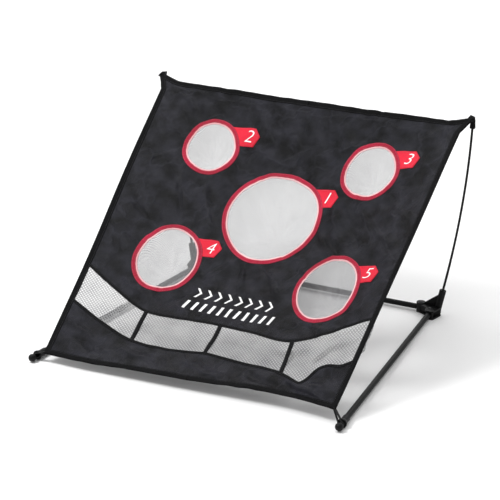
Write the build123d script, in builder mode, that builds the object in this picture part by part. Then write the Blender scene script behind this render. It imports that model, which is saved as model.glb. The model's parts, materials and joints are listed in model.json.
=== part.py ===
from build123d import *
import math
import os

# Golf chipping net: a fabric target panel leans back between a low tube base and two bowed poles.
# Millimetres, +Z up, the player stands at -Y. X = 0 is the plane of symmetry, and Z = 0 is the ground.

# ---- tube base ----
tube_d = 16.0
tube_wall = 1.2
tube_z = 13.0
rear_tube_y = 411.0
knuckle_x = 350.0
knuckle_d = 26.0
knuckle_h = 30.0
foot_x = 465.0
foot_y = -413.0
leg_pin_x = 390.0
leg_pin_y = 384.0
pin_d = 6.0
pin_fit = 0.05
pin_head_d = 11.0
pin_head_h = 2.4
channel_floor = 4.4
channel_roof = 21.6
channel_top = 26.5
channel_clearance = 0.6
eye_d = 16.0
spigot_d = 13.4
spigot_end = 42.0
tube_start = 13.0

# ---- foot fitting, measured back along the leg from the centre of its ball ----
ball_d = 22.0
neck_d = 10.0
flange_d = 26.0
flange_start = 20.0
flange_end = 24.0
sleeve_start = 34.0
sleeve_end = 56.0
sleeve_d = 20.0
strap_gap = 0.3
strap_thickness = 2.0

# ---- bowed poles ----
socket_x = 402.0
socket_y = 406.0
socket_z = 4.0
socket_lean = Vector(0.19, 0.09, 0.977).normalized()
socket_length = 76.0
socket_d = 20.0
ferrule_d = 9.0
ferrule_fit = 0.05
ferrule_start = 20.0
ferrule_length = 55.0
pole_d = 7.0
pole_tip = Vector(496.0, 383.0, 616.0)
tip_cap_d = 10.0
tip_cap_length = 18.0
corner_pocket_d = 16.0
corner_pocket_length = 34.0

# ---- fabric panel: u runs across it, v runs up its slope ----
panel_foot = Vector(0, -393.0, 30.0)
panel_length = 972.0
panel_top_y = 383.0
panel_top_z = 616.0
panel_sag = 85.0
sag_half_width = 460.0
sheet_u = 530.0
sheet_low_v = -30.0
sheet_high_v = 1020.0
cloth_half = 1.0
hem_half = 2.0
hem_width = 16.0
edge_bottom = (436.0, 4.0)
edge_top = (477.0, 957.0)
bottom_mid_v = 20.0
panel_tilt = math.atan2(panel_top_z - panel_foot.Z, panel_top_y - panel_foot.Y)
panel_plane = Plane(
    origin=panel_foot, x_dir=(1, 0, 0), z_dir=(0, -math.sin(panel_tilt), math.cos(panel_tilt))
)

# Targets: number, centre across, centre up the slope, radius of the hole edge, depth of the pocket
targets = [
    (1, 0.0, 594.0, 148.0, 78.0),
    (2, -252.0, 771.0, 88.0, 64.0),
    (3, 252.0, 771.0, 88.0, 64.0),
    (4, -248.0, 394.0, 105.0, 66.0),
    (5, 248.0, 394.0, 105.0, 66.0),
]
ring_width = 14.0
tab_thickness = 1.2
pocket_gores = 8
pocket_taper = 0.72
pocket_skin = 1.0
pocket_drop = 5.0

# Window band: a smile-shaped strip of mesh, in four windows between three dividers
window_corner_u = 228.0
window_end_u = 445.0
window_top_v = 213.0
window_top_end_v = 301.0
window_low_v = 111.0
window_low_end_v = 177.0
divider_width = 12.0

os.makedirs("parts", exist_ok=True)


def save(part, name):
    """Label one finished piece and write it under its node name."""
    part.label = name
    export_step(part, f"parts/{name}.step")


def mirrored(part):
    """The same piece on the other side of the plane of symmetry."""
    return mirror(part, about=Plane.YZ)


def save_pair(right_part, name):
    """Write a right-hand piece and its left-hand mirror image."""
    save(right_part, f"right_{name}")
    save(mirrored(right_part), f"left_{name}")


# ---------------------------------------------------------------- tube base

leg_dir = Vector(foot_x - leg_pin_x, foot_y - leg_pin_y, 0).normalized()
leg_length = math.hypot(foot_x - leg_pin_x, foot_y - leg_pin_y)
ball_centre = Vector(foot_x, foot_y, tube_z)
leg_pin_plane = Plane(origin=(leg_pin_x, leg_pin_y, 0))
# On the leg plane, x runs along the leg from the pin and z is the distance outward from the middle
leg_axis_plane = Plane(origin=(leg_pin_x, leg_pin_y, tube_z), x_dir=(0, 0, 1), z_dir=leg_dir)
# Seen from the ball, z runs back along the leg towards the hub
foot_plane = Plane(origin=ball_centre, x_dir=(0, 0, 1), z_dir=-leg_dir)

with BuildPart() as rear_tube:
    with BuildSketch(Plane.YZ.offset(-knuckle_x - pin_d)):
        with Locations((rear_tube_y, tube_z)):
            Circle(tube_d / 2)
            Circle(tube_d / 2 - tube_wall, mode=Mode.SUBTRACT)
    extrude(amount=2 * (knuckle_x + pin_d))
    with Locations((knuckle_x, rear_tube_y, tube_z), (-knuckle_x, rear_tube_y, tube_z)):
        Cylinder(pin_d / 2, tube_d * 2, mode=Mode.SUBTRACT)
save(rear_tube.part, "rear_tube")

# The hub's floor and roof plates share one outline around the leg pin, the knuckle and the socket
plate_outline = [
    (knuckle_x - 4, rear_tube_y - 11),
    (knuckle_x - 4, rear_tube_y + 11),
    (socket_x + 6, rear_tube_y + 9),
    (socket_x + 14, rear_tube_y - 8),
    (leg_pin_x + 17, leg_pin_y - 22),
    (leg_pin_x - 9, leg_pin_y - 20),
    (leg_pin_x - 14, leg_pin_y + 2),
]
# The block between the plates fills them from the knuckle to just behind the leg's eye
block_outline = [
    (knuckle_x - 4, rear_tube_y - 9),
    (knuckle_x - 4, rear_tube_y + 10),
    (socket_x + 5, rear_tube_y + 8),
    (socket_x + 13, rear_tube_y - 8),
    (leg_pin_x + 12, leg_pin_y + 4),
    (leg_pin_x - 12, leg_pin_y + 8),
]
wall_offset = tube_d / 2 + channel_clearance
wall_thickness = 3.6
web_plane = Plane(origin=(knuckle_x, rear_tube_y, 0), x_dir=(1, 0, 0), z_dir=(0, -1, 0))
web_thickness = 8.0
web_outline = [(0, 4), (0, knuckle_h - 8), (socket_x - knuckle_x + 12, 70), (socket_x - knuckle_x + 10, 4)]
socket_plane = Plane(origin=(socket_x, socket_y, socket_z), z_dir=socket_lean)

with BuildPart() as hub:
    with BuildSketch(Plane.XY):
        Polygon(*plate_outline, align=None)
        fillet(vertices().sort_by(Axis.Y)[:2], radius=6)
    extrude(amount=channel_floor)
    with BuildSketch(Plane.XY.offset(channel_roof)):
        Polygon(*plate_outline, align=None)
        fillet(vertices().sort_by(Axis.Y)[:2], radius=6)
    extrude(amount=channel_top - channel_roof)
    with BuildSketch(Plane.XY.offset(channel_floor)):
        Polygon(*block_outline, align=None)
    extrude(amount=channel_roof - channel_floor)
    # outer wall of the channel, which stops the leg from swinging outwards
    with BuildSketch(Plane(origin=(leg_pin_x, leg_pin_y, channel_floor), x_dir=leg_dir, z_dir=(0, 0, 1))):
        with Locations((5, wall_offset + wall_thickness / 2)):
            Rectangle(34, wall_thickness)
    extrude(amount=channel_roof - channel_floor)
    # knuckle over the end of the rear tube
    with BuildSketch(Plane.XY):
        with Locations((knuckle_x, rear_tube_y)):
            Circle(knuckle_d / 2)
    extrude(amount=knuckle_h)
    # web from the knuckle up to the socket's collar
    with BuildSketch(web_plane.offset(-web_thickness / 2)):
        Polygon(*web_outline, align=None)
    extrude(amount=web_thickness)
    # inclined socket for the pole
    with BuildSketch(socket_plane.offset(-8)):
        Circle(socket_d / 2)
    extrude(amount=socket_length + 8)
    fillet(edges().filter_by(GeomType.CIRCLE).sort_by(Axis.Z)[-1], radius=1.5)
    split(bisect_by=Plane.XY, keep=Keep.TOP)
    # bores
    with BuildSketch(socket_plane.offset(ferrule_start)):
        Circle(ferrule_d / 2 + ferrule_fit)
    extrude(amount=socket_length, mode=Mode.SUBTRACT)
    with BuildSketch(Plane.YZ.offset(knuckle_x - knuckle_d)):
        with Locations((rear_tube_y, tube_z)):
            Circle(tube_d / 2)
    extrude(amount=knuckle_d + pin_d, mode=Mode.SUBTRACT)
    with BuildSketch(leg_pin_plane.offset(channel_floor)):
        Circle(eye_d / 2 + channel_clearance)
    extrude(amount=channel_roof - channel_floor, mode=Mode.SUBTRACT)
    with BuildSketch(Plane.XY.offset(1.5)):
        with Locations((leg_pin_x, leg_pin_y), (knuckle_x, rear_tube_y)):
            Circle(pin_d / 2)
    extrude(amount=knuckle_h, mode=Mode.SUBTRACT)
save_pair(hub.part, "hub")


def headed_pin(x, y, top):
    """A vertical pin that stands in a blind hole and has a domed head above the surface at top."""
    with BuildPart() as pin:
        with BuildSketch(Plane(origin=(x, y, 1.5))):
            Circle(pin_d / 2)
        extrude(amount=top - 1.5)
        with BuildSketch(Plane(origin=(x, y, top))):
            Circle(pin_head_d / 2)
        extrude(amount=pin_head_h)
        fillet(edges().filter_by(GeomType.CIRCLE).sort_by(Axis.Z)[-1], radius=pin_head_h * 0.8)
    return pin.part


save_pair(headed_pin(knuckle_x, rear_tube_y, knuckle_h), "knuckle_pin")
save_pair(headed_pin(leg_pin_x, leg_pin_y, channel_top), "leg_pin")

with BuildPart() as leg_eye:
    with BuildSketch(leg_pin_plane.offset(tube_z - eye_d / 2)):
        Circle(eye_d / 2)
    extrude(amount=eye_d)
    with BuildSketch(leg_axis_plane):
        Circle(spigot_d / 2)
    extrude(amount=spigot_end)
    fillet(edges().filter_by(GeomType.CIRCLE).sort_by(Axis.Y)[0], radius=1.5)
    with BuildSketch(leg_pin_plane):
        Circle(pin_d / 2 + pin_fit)
    extrude(amount=knuckle_h, mode=Mode.SUBTRACT)
save_pair(leg_eye.part, "leg_eye")

with BuildPart() as leg_tube:
    with BuildSketch(leg_axis_plane.offset(tube_start)):
        Circle(tube_d / 2)
        Circle(tube_d / 2 - tube_wall, mode=Mode.SUBTRACT)
    extrude(amount=leg_length - sleeve_start - tube_start)
    with BuildSketch(leg_pin_plane):
        Circle(eye_d / 2)
    extrude(amount=knuckle_h, mode=Mode.SUBTRACT)
save_pair(leg_tube.part, "leg_tube")

# Foot fitting: ball, neck, flange and sleeve turned about the leg's line
ball_r = ball_d / 2
neck_start = math.sqrt(ball_r**2 - (neck_d / 2) ** 2)
with BuildPart() as foot_fitting:
    with BuildSketch(Plane(origin=ball_centre, x_dir=(0, 0, 1), z_dir=leg_dir.cross(Vector(0, 0, 1)))):
        with BuildLine():
            ThreePointArc((0, -ball_r), (ball_r * math.cos(0.35), -ball_r * math.sin(0.35)), (neck_d / 2, neck_start))
            Polyline(
                (neck_d / 2, neck_start),
                (neck_d / 2, flange_start),
                (flange_d / 2, flange_start),
                (flange_d / 2, flange_end),
                (sleeve_d / 2, sleeve_start),
                (sleeve_d / 2, sleeve_end),
                (tube_d / 2, sleeve_end),
                (tube_d / 2, sleeve_start),
                (0, sleeve_start),
                (0, -ball_r),
            )
        make_face()
    revolve(axis=Axis(ball_centre, leg_dir))
save_pair(foot_fitting.part, "foot_fitting")

# Webbing loop around the neck of the fitting, with a tail that rises towards the fabric's corner
loop_r = neck_d / 2 + strap_gap
with BuildPart() as strap_loop:
    with BuildSketch(foot_plane.offset(neck_start + strap_gap)):
        Circle(loop_r + strap_thickness)
        Circle(loop_r, mode=Mode.SUBTRACT)
    extrude(amount=flange_start - neck_start - 2 * strap_gap)
    with BuildSketch(foot_plane.offset(neck_start + strap_gap)):
        with Locations((loop_r + 4, 3.5)):
            Rectangle(10, strap_thickness)
    extrude(amount=flange_start - neck_start - 2 * strap_gap)
save_pair(strap_loop.part, "strap_loop")

# ---------------------------------------------------------------- bowed poles

pole_base = socket_plane.origin + socket_lean * ferrule_start
collar_top = socket_plane.origin + socket_lean * socket_length

with BuildPart() as pole:
    with BuildLine() as pole_line:
        straight = Line(pole_base + socket_lean * 2, collar_top)
        bow = TangentArc(collar_top, pole_tip, tangent=socket_lean)
    with BuildSketch(Plane(origin=pole_base + socket_lean * 2, z_dir=socket_lean)):
        Circle(pole_d / 2)
    sweep(path=pole_line.wire())
save_pair(pole.part, "pole")
tip_dir = (bow % 1).normalized()

with BuildPart() as pole_ferrule:
    with BuildSketch(Plane(origin=pole_base, z_dir=socket_lean)):
        Circle(ferrule_d / 2)
    extrude(amount=ferrule_length)
    with BuildSketch(Plane(origin=pole_base + socket_lean * 2, z_dir=socket_lean)):
        Circle(pole_d / 2)
    extrude(amount=ferrule_length, mode=Mode.SUBTRACT)
save_pair(pole_ferrule.part, "pole_ferrule")

with BuildPart() as pole_tip_cap:
    with BuildSketch(Plane(origin=pole_tip - tip_dir * (tip_cap_length - 3), z_dir=tip_dir)):
        Circle(tip_cap_d / 2)
    extrude(amount=tip_cap_length)
    fillet(edges().filter_by(GeomType.CIRCLE).sort_by(Axis.Z)[-1], radius=3)
    with BuildSketch(Plane(origin=pole_tip - tip_dir * (tip_cap_length - 3), z_dir=tip_dir)):
        Circle(pole_d / 2 + 0.15)
    extrude(amount=tip_cap_length - 3, mode=Mode.SUBTRACT)
save_pair(pole_tip_cap.part, "pole_tip_cap")

with BuildPart() as corner_pocket:
    with BuildSketch(Plane(origin=pole_tip - tip_dir * (corner_pocket_length - 7), z_dir=tip_dir)):
        Circle(corner_pocket_d / 2)
    extrude(amount=corner_pocket_length)
    fillet(edges().filter_by(GeomType.CIRCLE).sort_by(Axis.Z)[-1], radius=5)
    with BuildSketch(Plane(origin=pole_tip - tip_dir * (corner_pocket_length - 7), z_dir=tip_dir)):
        Circle(tip_cap_d / 2 + 0.4)
    extrude(amount=corner_pocket_length - 3.6, mode=Mode.SUBTRACT)
save_pair(corner_pocket.part, "corner_pocket")

# ---------------------------------------------------------------- fabric panel
# Cloth outlines are drawn flat, as u and v on the XY plane, and then laid on the panel plane.


def sag(u, v, u_end=None, v_end=None):
    """How far the cloth hangs below the flat slope at one place, a quadratic in u and in v.

    With u_end and v_end it gives the surface's Bezier control value between two corners instead.
    """
    u_end = u if u_end is None else u_end
    v_end = v if v_end is None else v_end
    along = 4 * ((v + v_end) / (2 * panel_length) - v * v_end / panel_length**2)
    across = 1 - u * u_end / sag_half_width**2
    return panel_sag * along * across


def cloth_layer(low, high):
    """A layer of the sagging cloth, between two heights above its middle surface."""
    u_spans = [(-sheet_u, -sheet_u), (-sheet_u, sheet_u), (sheet_u, sheet_u)]
    v_spans = [(sheet_low_v, sheet_low_v), (sheet_low_v, sheet_high_v), (sheet_high_v, sheet_high_v)]
    controls = []
    for u0, u1 in u_spans:
        local = [Vector((u0 + u1) / 2, (v0 + v1) / 2, low - sag(u0, v0, u1, v1)) for v0, v1 in v_spans]
        controls.append([panel_plane.from_local_coords(point) for point in local])
    return extrude(Face.make_bezier_surface(controls), amount=high - low, dir=panel_plane.z_dir)


cloth = cloth_layer(-cloth_half, cloth_half)
hem_cloth = cloth_layer(-hem_half, hem_half)
tab_cloth = cloth_layer(cloth_half, cloth_half + tab_thickness)
mesh_cloth = cloth_layer(-cloth_half, 0)


def cut(outline, layer):
    """Cut one piece of cloth out of a layer, along a flat outline."""
    column = extrude(panel_plane.from_local_coords(outline), amount=200, both=True)
    with BuildPart() as piece:
        add(column)
        add(layer, mode=Mode.INTERSECT)
    return piece.part


def edge_u(v):
    """Half width of the panel at a height up the slope."""
    return edge_bottom[0] + (edge_top[0] - edge_bottom[0]) * (v - edge_bottom[1]) / (edge_top[1] - edge_bottom[1])


def fabric_outline(side_inset, low_inset, high_inset):
    """The panel's flat outline with its sides, curved bottom edge and top edge drawn in."""
    foot_v = -60
    high_v = edge_top[1] - high_inset
    with BuildSketch() as outline:
        with BuildLine():
            hem = ThreePointArc(
                (-edge_bottom[0], edge_bottom[1] + low_inset),
                (0, bottom_mid_v + low_inset),
                (edge_bottom[0], edge_bottom[1] + low_inset),
            )
            Polyline(hem @ 1, (600, edge_bottom[1] + low_inset), (600, high_v), (-600, high_v))
            Polyline((-600, high_v), (-600, edge_bottom[1] + low_inset), hem @ 0)
        make_face()
        Polygon(
            (-edge_u(foot_v) + side_inset, foot_v),
            (edge_u(foot_v) - side_inset, foot_v),
            (edge_u(1000) - side_inset, 1000),
            (-edge_u(1000) + side_inset, 1000),
            align=None,
            mode=Mode.INTERSECT,
        )
    return outline.sketch


def cell(u0, u1, v0, v1):
    """A flat rectangle between two distances across and two heights up the slope."""
    return Pos((u0 + u1) / 2, (v0 + v1) / 2) * Rectangle(u1 - u0, v1 - v0, mode=Mode.PRIVATE)


def in_columns(outline, layer, v0, v1):
    """Cut an outline into patches that meet at straight lines, each nearly flat."""
    pieces = []
    for u0, u1 in zip(columns, columns[1:]):
        with BuildSketch() as patch:
            add(cell(u0, u1, v0, v1))
            add(outline, mode=Mode.INTERSECT)
        pieces.extend(cut(patch.sketch, layer).solids())
    return pieces


fabric = fabric_outline(0, 0, 0)
between_sides = fabric_outline(hem_width, 0, 0)
field = fabric_outline(hem_width, hem_width, hem_width)

with BuildSketch() as band:
    Polygon(
        (-window_end_u, window_low_end_v),
        (-window_corner_u, window_low_v),
        (window_corner_u, window_low_v),
        (window_end_u, window_low_end_v),
        (window_end_u, window_top_end_v),
        (window_corner_u, window_top_v),
        (-window_corner_u, window_top_v),
        (-window_end_u, window_top_end_v),
        align=None,
    )
    add(field, mode=Mode.INTERSECT)

with BuildSketch() as black_cloth:
    add(field)
    add(band.sketch, mode=Mode.SUBTRACT)
    for number, u, v, radius, depth in targets:
        with Locations((u, v)):
            Circle(radius, mode=Mode.SUBTRACT)

# The target panel and the apron below the windows are made of patches whose straight seams run
# through the targets, so that every patch is nearly flat and none encloses an opening
columns = [-500.0, -250.0, 0.0, 250.0, 500.0]
rows = [window_top_v, 394.0, 594.0, 771.0, edge_top[1]]
panel_patches = []
for v0, v1 in zip(rows, rows[1:]):
    panel_patches.extend(in_columns(black_cloth.sketch, cloth, v0, v1))
save(Compound(children=panel_patches), "target_panel")
apron_patches = in_columns(black_cloth.sketch, cloth, 0.0, window_low_end_v + 5)
save(Compound(children=apron_patches), "lower_apron")

# Hems
with BuildSketch() as top_strip:
    add(between_sides)
    add(fabric_outline(hem_width, 0, hem_width), mode=Mode.SUBTRACT)
save(cut(top_strip.sketch, hem_cloth), "top_hem")
with BuildSketch() as bottom_strip:
    add(between_sides)
    add(fabric_outline(hem_width, hem_width, 0), mode=Mode.SUBTRACT)
save(cut(bottom_strip.sketch, hem_cloth), "bottom_hem")
with BuildSketch() as side_strip:
    add(fabric)
    add(between_sides, mode=Mode.SUBTRACT)
    add(cell(0, 600, -50, 1050), mode=Mode.INTERSECT)
save_pair(cut(side_strip.sketch, hem_cloth), "side_hem")

# Mesh windows and the dividers between them
divider_us = [-window_corner_u, 0.0, window_corner_u]
strips = [cell(u - divider_width / 2, u + divider_width / 2, 0, 400) for u in divider_us]
for index, strip in enumerate(strips):
    with BuildSketch() as divider:
        add(band.sketch)
        add(strip, mode=Mode.INTERSECT)
    save(cut(divider.sketch, hem_cloth), f"window_divider_{index + 1}")
window_ends = [-500.0, *divider_us, 500.0]
for index, (u0, u1) in enumerate(zip(window_ends, window_ends[1:])):
    with BuildSketch() as window:
        add(band.sketch)
        add(cell(u0 + divider_width / 2, u1 - divider_width / 2, 0, 400), mode=Mode.INTERSECT)
    save(cut(window.sketch, mesh_cloth), f"mesh_window_{index + 1}")

# Red binding round each target and the numbered tab sewn to its upper right
tab_outline = [(-15, 18), (40, 26), (56, 3), (46, -32), (17, -35)]
tab_angle = math.radians(42)
for number, u, v, radius, depth in targets:
    with BuildSketch() as ring:
        with Locations((u, v)):
            Circle(radius)
            Circle(radius - ring_width, mode=Mode.SUBTRACT)
    save(cut(ring.sketch, hem_cloth), f"target_ring_{number}")
    with BuildSketch() as tab:
        with Locations((u + radius * math.cos(tab_angle), v + radius * math.sin(tab_angle))):
            Polygon(*tab_outline, align=None)
        with Locations((u, v)):
            Circle(radius + 0.2, mode=Mode.SUBTRACT)
    save(cut(tab.sketch, tab_cloth), f"number_tab_{number}")


def cloth_point(u, v):
    """The place of one point of the cloth's middle surface."""
    return panel_plane.from_local_coords(Vector(u, v, -sag(u, v)))


def cloth_plane(u, v, offset):
    """A plane that lies along the cloth at one point, moved by an offset from it."""
    across = cloth_point(u + 1, v) - cloth_point(u - 1, v)
    along = cloth_point(u, v + 1) - cloth_point(u, v - 1)
    return Plane(origin=cloth_point(u, v), x_dir=across, z_dir=across.cross(along)).offset(offset)


def pocket(u, v, radius, depth):
    """A shallow mesh bag behind a target: flat gores round an open mouth, and a flat bottom."""
    mouth = cloth_plane(u, v, -pocket_drop)
    hang = (Vector(0, 0, -1) - mouth.z_dir).normalized()
    low = Plane(origin=mouth.origin + hang * depth, x_dir=mouth.x_dir, z_dir=mouth.z_dir)
    corners = [math.tau * (k + 0.5) / pocket_gores for k in range(pocket_gores)]
    mouth_r = radius - ring_width / 2
    low_r = mouth_r * pocket_taper
    upper_points = [mouth.from_local_coords(Vector(mouth_r * math.cos(a), mouth_r * math.sin(a), 0)) for a in corners]
    lower_points = [low.from_local_coords(Vector(low_r * math.cos(a), low_r * math.sin(a), 0)) for a in corners]
    plates = [extrude(Face(Wire.make_polygon(lower_points)), amount=pocket_skin, dir=-mouth.z_dir)]
    for k in range(pocket_gores):
        after = (k + 1) % pocket_gores
        quad = [upper_points[k], upper_points[after], lower_points[after], lower_points[k]]
        outward = (quad[1] - quad[0]).cross(quad[3] - quad[0]).normalized()
        if outward.dot((quad[0] + quad[1]) * 0.5 - mouth.origin) < 0:
            outward = -outward
        plates.append(extrude(Face(Wire.make_polygon(quad)), amount=pocket_skin, dir=outward))
    return Compound(children=plates)


for number, u, v, radius, depth in targets:
    save(pocket(u, v, radius, depth), f"mesh_pocket_{number}")
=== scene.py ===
import json
import math

import bmesh
import bpy
import numpy as np
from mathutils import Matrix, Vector
from mathutils.geometry import delaunay_2d_cdt


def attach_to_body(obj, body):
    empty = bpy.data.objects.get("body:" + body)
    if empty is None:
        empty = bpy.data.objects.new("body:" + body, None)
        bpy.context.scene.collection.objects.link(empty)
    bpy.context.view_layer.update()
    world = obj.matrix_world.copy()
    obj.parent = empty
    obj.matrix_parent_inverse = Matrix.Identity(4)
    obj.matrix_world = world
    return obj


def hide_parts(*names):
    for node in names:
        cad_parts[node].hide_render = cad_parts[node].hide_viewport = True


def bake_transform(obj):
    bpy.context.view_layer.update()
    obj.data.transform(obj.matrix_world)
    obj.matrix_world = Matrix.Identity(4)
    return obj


# Golf chipping net: fabric, netting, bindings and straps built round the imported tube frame.
# Metres, in the CAD frame. On the cloth, u runs across the panel and v runs up its slope.

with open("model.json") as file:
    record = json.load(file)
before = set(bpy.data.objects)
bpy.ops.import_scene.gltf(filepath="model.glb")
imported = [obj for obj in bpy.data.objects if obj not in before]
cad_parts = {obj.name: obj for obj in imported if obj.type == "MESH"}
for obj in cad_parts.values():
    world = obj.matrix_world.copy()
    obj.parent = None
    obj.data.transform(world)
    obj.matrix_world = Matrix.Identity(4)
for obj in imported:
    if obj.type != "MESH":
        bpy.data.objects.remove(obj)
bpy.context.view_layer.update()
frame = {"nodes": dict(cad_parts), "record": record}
nodes = frame["nodes"]

# ---- the cloth's middle surface, as the CAD has it ----
FOOT = np.array([0.0, -0.393, 0.030])
TOP_EDGE = np.array([0.0, 0.383, 0.616])
SLOPE_LENGTH = 0.972
SAG_DEPTH = 0.085
SAG_HALF_WIDTH = 0.460
TILT = math.atan2(TOP_EDGE[2] - FOOT[2], TOP_EDGE[1] - FOOT[1])
ACROSS = np.array([1.0, 0.0, 0.0])
UPHILL = np.array([0.0, math.cos(TILT), math.sin(TILT)])
OUTWARD = np.array([0.0, -math.sin(TILT), math.cos(TILT)])

# ---- outline of the cloth ----
TOP_V = 0.957
EAR_START_U = 0.428
EAR_START_V = 0.922
EAR_U = 0.022
EAR_V = 0.024
SIDE_LOW = (0.436, 0.004)
SIDE_HIGH = (0.477, 0.957)
BOTTOM_EDGE = [
    (-0.446, -0.006), (-0.328, -0.007), (-0.171, 0.002), (0.043, 0.014),
    (0.110, 0.020), (0.283, 0.029), (0.384, 0.023), (0.440, 0.018),
]
WINDOW_TOP = [
    (-0.480, 0.318), (-0.437, 0.298), (-0.330, 0.248), (-0.225, 0.208), (-0.110, 0.213), (-0.004, 0.219),
    (0.110, 0.214), (0.225, 0.207), (0.310, 0.243), (0.387, 0.284), (0.428, 0.299), (0.480, 0.306),
]
WINDOW_LOW = [
    (-0.480, 0.194), (-0.435, 0.178), (-0.330, 0.136), (-0.221, 0.101), (-0.095, 0.100), (0.005, 0.112),
    (0.120, 0.106), (0.240, 0.097), (0.275, 0.085), (0.300, 0.0765), (0.308, 0.0755), (0.316, 0.083),
    (0.342, 0.130), (0.352, 0.138), (0.407, 0.151), (0.432, 0.166), (0.480, 0.178),
]
DIVIDERS = [
    ((-0.222, 0.207), (-0.215, 0.100)),
    ((0.001, 0.220), (0.005, 0.112)),
    ((0.229, 0.207), (0.243, 0.097)),
]
SPLIT_V = 0.550

# Targets: number, centre u and v, half width and height, pocket depth, and the tab's tip from the centre
TARGETS = [
    (1, 0.003, 0.5905, 0.1497, 0.1479, 0.078, (0.176, 0.094)),
    (2, -0.254, 0.770, 0.0850, 0.0891, 0.064, (0.134, 0.060)),
    (3, 0.250, 0.772, 0.0892, 0.0921, 0.064, (0.136, 0.054)),
    (4, -0.2405, 0.390, 0.0971, 0.1142, 0.066, (0.136, 0.075)),
    (5, 0.258, 0.387, 0.0989, 0.1138, 0.066, (0.137, 0.065)),
]
RING_WIDTH = 0.0125
TAB_OUTLINE = [(-0.104, 0.015), (-0.018, 0.022), (0.0, 0.0), (-0.011, -0.034), (-0.066, -0.039)]
CLOTH_HALF = 0.0006
GRID = 0.0055
rng = np.random.default_rng(11)


# ---------------------------------------------------------------- cloth surface


def smooth_step(t):
    t = np.clip(t, 0.0, 1.0)
    return t * t * (3 - 2 * t)


def through(points, u):
    """A smooth single-valued line v(u) through outline points."""
    points = np.array(points)
    slopes = np.gradient(points[:, 1], points[:, 0])
    index = np.clip(np.searchsorted(points[:, 0], u) - 1, 0, len(points) - 2)
    u0, v0, m0 = points[index, 0], points[index, 1], slopes[index]
    u1, v1, m1 = points[index + 1, 0], points[index + 1, 1], slopes[index + 1]
    width = u1 - u0
    t = np.clip((u - u0) / width, 0, 1)
    return (
        v0 * (1 + 2 * t) * (1 - t) ** 2
        + m0 * width * t * (1 - t) ** 2
        + v1 * t**2 * (3 - 2 * t)
        + m1 * width * t**2 * (t - 1)
    )


def side_u(v):
    """Half width of the cloth, flaring into the ears that hold the pole tips."""
    share = (v - SIDE_LOW[1]) / (SIDE_HIGH[1] - SIDE_LOW[1])
    ear = np.clip((v - EAR_START_V) / (TOP_V + EAR_V - EAR_START_V), 0, 1) ** 0.8
    waver = 0.0010 * np.sin(11 * v + 1)
    return SIDE_LOW[0] + (SIDE_HIGH[0] - SIDE_LOW[0]) * share + EAR_U * ear + waver


def top_v(u):
    ear = np.clip((np.abs(u) - EAR_START_U) / (SIDE_HIGH[0] + EAR_U - EAR_START_U), 0, 1) ** 1.35
    return TOP_V + EAR_V * ear


def bottom_v(u):
    return through(BOTTOM_EDGE, u)


def window_top(u):
    return through(WINDOW_TOP, u)


def window_low(u):
    return through(WINDOW_LOW, u)


# Creases: start u, v, end u, v, half width, height
CREASES = [
    (-0.235, 0.675, -0.165, 0.520, 0.009, 0.0030),
    (-0.300, 0.665, -0.270, 0.540, 0.008, -0.0022),
    (-0.190, 0.700, -0.120, 0.640, 0.008, 0.0022),
    (0.270, 0.665, 0.405, 0.520, 0.010, 0.0032),
    (0.215, 0.640, 0.335, 0.500, 0.009, -0.0026),
    (0.350, 0.690, 0.440, 0.600, 0.009, 0.0022),
    (0.160, 0.560, 0.240, 0.480, 0.009, 0.0028),
    (-0.030, 0.440, 0.010, 0.340, 0.008, 0.0026),
    (-0.085, 0.450, -0.130, 0.330, 0.009, -0.0024),
    (0.050, 0.445, 0.150, 0.320, 0.010, 0.0030),
    (0.095, 0.460, 0.190, 0.400, 0.008, -0.0022),
    (-0.160, 0.560, -0.230, 0.505, 0.009, 0.0025),
    (-0.440, 0.560, -0.330, 0.470, 0.010, 0.0028),
    (-0.450, 0.460, -0.350, 0.400, 0.009, -0.0024),
    (-0.445, 0.650, -0.330, 0.740, 0.010, 0.0024),
    (-0.440, 0.120, -0.300, 0.060, 0.010, 0.0030),
    (-0.440, 0.070, -0.240, 0.030, 0.009, -0.0026),
    (-0.260, 0.080, -0.080, 0.035, 0.010, 0.0028),
    (-0.060, 0.080, 0.120, 0.045, 0.009, 0.0026),
    (0.120, 0.075, 0.300, 0.040, 0.010, -0.0026),
    (0.235, 0.098, 0.415, 0.032, 0.009, 0.0060),
    (0.255, 0.082, 0.425, 0.022, 0.009, -0.0050),
    (0.320, 0.085, 0.432, 0.050, 0.010, 0.0050),
    (0.345, 0.125, 0.440, 0.075, 0.010, -0.0040),
    (-0.440, 0.940, -0.330, 0.860, 0.010, 0.0026),
    (0.440, 0.940, 0.350, 0.860, 0.010, 0.0028),
    (-0.060, 0.760, 0.070, 0.840, 0.010, 0.0020),
    (0.120, 0.760, 0.150, 0.880, 0.010, 0.0020),
    (-0.130, 0.800, -0.100, 0.900, 0.009, -0.0020),
    (-0.340, 0.300, -0.230, 0.250, 0.009, 0.0022),
    (0.240, 0.275, 0.330, 0.262, 0.008, 0.0024),
    (-0.460, 0.922, 0.460, 0.924, 0.004, 0.0010),
]


def scattered_creases(count):
    """Small creases all over, running mostly along the slope's diagonals."""
    found = []
    for _ in range(count):
        u, v = rng.uniform(-0.44, 0.44), rng.uniform(0.22, 0.95)
        angle = rng.choice([-1, 1]) * rng.uniform(0.6, 1.4)
        length = rng.uniform(0.04, 0.13)
        width, height = rng.uniform(0.005, 0.010), rng.choice([-1, 1]) * rng.uniform(0.0006, 0.0016)
        found.append((u, v, u + length * math.cos(angle), v + length * math.sin(angle), width, height))
    return found


CREASES += scattered_creases(90)
CREASE_GAIN = 1.6
RIPPLE_GAIN = 0.0060
HEM_HOLD = 0.075
RIPPLES = [(rng.uniform(6, 22), rng.uniform(0, math.tau), rng.uniform(0, math.tau)) for _ in range(9)]


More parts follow.
